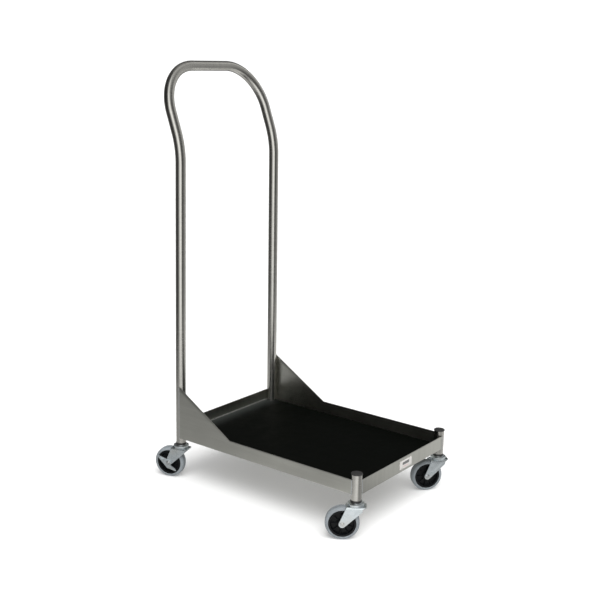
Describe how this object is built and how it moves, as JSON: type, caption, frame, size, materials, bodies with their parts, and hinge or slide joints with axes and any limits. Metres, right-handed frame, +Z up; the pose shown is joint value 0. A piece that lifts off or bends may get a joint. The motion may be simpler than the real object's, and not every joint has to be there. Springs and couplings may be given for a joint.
{
  "type": "luggage cart",
  "caption": "Small platform luggage cart: folded steel tray with rubber mat, bent-tube handle that leans back, swivel casters with side brakes at the rear.",
  "frame": {"origin": "middle of the cart's bounding box in the plan, on the floor", "axes": "+X to the cart's right seen from its front, +Y towards the handle, +Z up"},
  "size_m": [0.4418, 0.6608, 1.0615],
  "materials": {
    "stainless": "brushed stainless steel",
    "mat_rubber": "matte black rubber with fine grain",
    "black_plastic": "moulded black plastic",
    "hub_plastic": "moulded black nylon",
    "tyre_rubber": "smooth grey rubber",
    "zinc_steel": "bright zinc plated pressed steel",
    "plate": "plain satin plate"
  },
  "bodies": {
    "frame": {"tray_pan": "stainless", "deck_mat": "mat_rubber", "handle_tube": "stainless", "maker_plate": "plate", "front_left_post": "stainless", "front_left_post_cap": "black_plastic", "front_right_post": "stainless", "front_right_post_cap": "black_plastic", "front_left_stem_plug": "black_plastic", "front_left_stem": "zinc_steel", "front_left_upper_race": "zinc_steel", "front_right_stem_plug": "black_plastic", "front_right_stem": "zinc_steel", "front_right_upper_race": "zinc_steel", "rear_left_stem_plug": "black_plastic", "rear_left_stem": "zinc_steel", "rear_left_upper_race": "zinc_steel", "rear_right_stem_plug": "black_plastic", "rear_right_stem": "zinc_steel", "rear_right_upper_race": "zinc_steel"},
    "front_left_fork": {"front_left_race_balls": "zinc_steel", "front_left_lower_race": "zinc_steel", "front_left_fork": "zinc_steel", "front_left_axle_bolt": "zinc_steel", "front_left_axle_nut": "zinc_steel", "front_left_axle_sleeve": "zinc_steel"},
    "front_left_wheel": {"front_left_wheel_hub": "hub_plastic", "front_left_tyre": "tyre_rubber"},
    "front_right_fork": {"front_right_race_balls": "zinc_steel", "front_right_lower_race": "zinc_steel", "front_right_fork": "zinc_steel", "front_right_axle_bolt": "zinc_steel", "front_right_axle_nut": "zinc_steel", "front_right_axle_sleeve": "zinc_steel"},
    "front_right_wheel": {"front_right_wheel_hub": "hub_plastic", "front_right_tyre": "tyre_rubber"},
    "rear_left_fork": {"rear_left_race_balls": "zinc_steel", "rear_left_lower_race": "zinc_steel", "rear_left_fork": "zinc_steel", "rear_left_axle_bolt": "zinc_steel", "rear_left_axle_nut": "zinc_steel", "rear_left_axle_sleeve": "zinc_steel"},
    "rear_left_wheel": {"rear_left_wheel_hub": "hub_plastic", "rear_left_tyre": "tyre_rubber"},
    "rear_left_brake": {"rear_left_brake_lever": "zinc_steel"},
    "rear_right_fork": {"rear_right_race_balls": "zinc_steel", "rear_right_lower_race": "zinc_steel", "rear_right_fork": "zinc_steel", "rear_right_axle_bolt": "zinc_steel", "rear_right_axle_nut": "zinc_steel", "rear_right_axle_sleeve": "zinc_steel"},
    "rear_right_wheel": {"rear_right_wheel_hub": "hub_plastic", "rear_right_tyre": "tyre_rubber"},
    "rear_right_brake": {"rear_right_brake_lever": "zinc_steel"}
  },
  "joints": [
    {"name": "front_left_swivel", "type": "hinge", "parent": "frame", "child": "front_left_fork", "pos_m": [-0.17368, -0.305, 0.0828], "axis": [0, 0, 1], "continuous": true},
    {"name": "front_left_spin", "type": "hinge", "parent": "front_left_fork", "child": "front_left_wheel", "pos_m": [-0.19089, -0.28043, 0.04], "axis": [-0.8192, -0.5736, 0], "continuous": true},
    {"name": "front_right_swivel", "type": "hinge", "parent": "frame", "child": "front_right_fork", "pos_m": [0.19592, -0.305, 0.0828], "axis": [0, 0, 1], "continuous": true},
    {"name": "front_right_spin", "type": "hinge", "parent": "front_right_fork", "child": "front_right_wheel", "pos_m": [0.17318, -0.28544, 0.04], "axis": [-0.6521, -0.7581, 0], "continuous": true},
    {"name": "rear_left_swivel", "type": "hinge", "parent": "frame", "child": "rear_left_fork", "pos_m": [-0.17368, 0.2466, 0.0828], "axis": [0, 0, 1], "continuous": true},
    {"name": "rear_left_spin", "type": "hinge", "parent": "rear_left_fork", "child": "rear_left_wheel", "pos_m": [-0.18379, 0.27484, 0.04], "axis": [-0.9415, -0.3371, 0], "continuous": true},
    {"name": "rear_left_brake", "type": "hinge", "parent": "rear_left_fork", "child": "rear_left_brake", "pos_m": [-0.18379, 0.27484, 0.04], "axis": [-0.9415, -0.3371, 0], "range_deg": [0, 35]},
    {"name": "rear_right_swivel", "type": "hinge", "parent": "frame", "child": "rear_right_fork", "pos_m": [0.19592, 0.2466, 0.0828], "axis": [0, 0, 1], "continuous": true},
    {"name": "rear_right_spin", "type": "hinge", "parent": "rear_right_fork", "child": "rear_right_wheel", "pos_m": [0.18002, 0.27204, 0.04], "axis": [-0.848, -0.5299, 0], "continuous": true},
    {"name": "rear_right_brake", "type": "hinge", "parent": "rear_right_fork", "child": "rear_right_brake", "pos_m": [0.18002, 0.27204, 0.04], "axis": [-0.848, -0.5299, 0], "range_deg": [0, 35]}
  ]
}
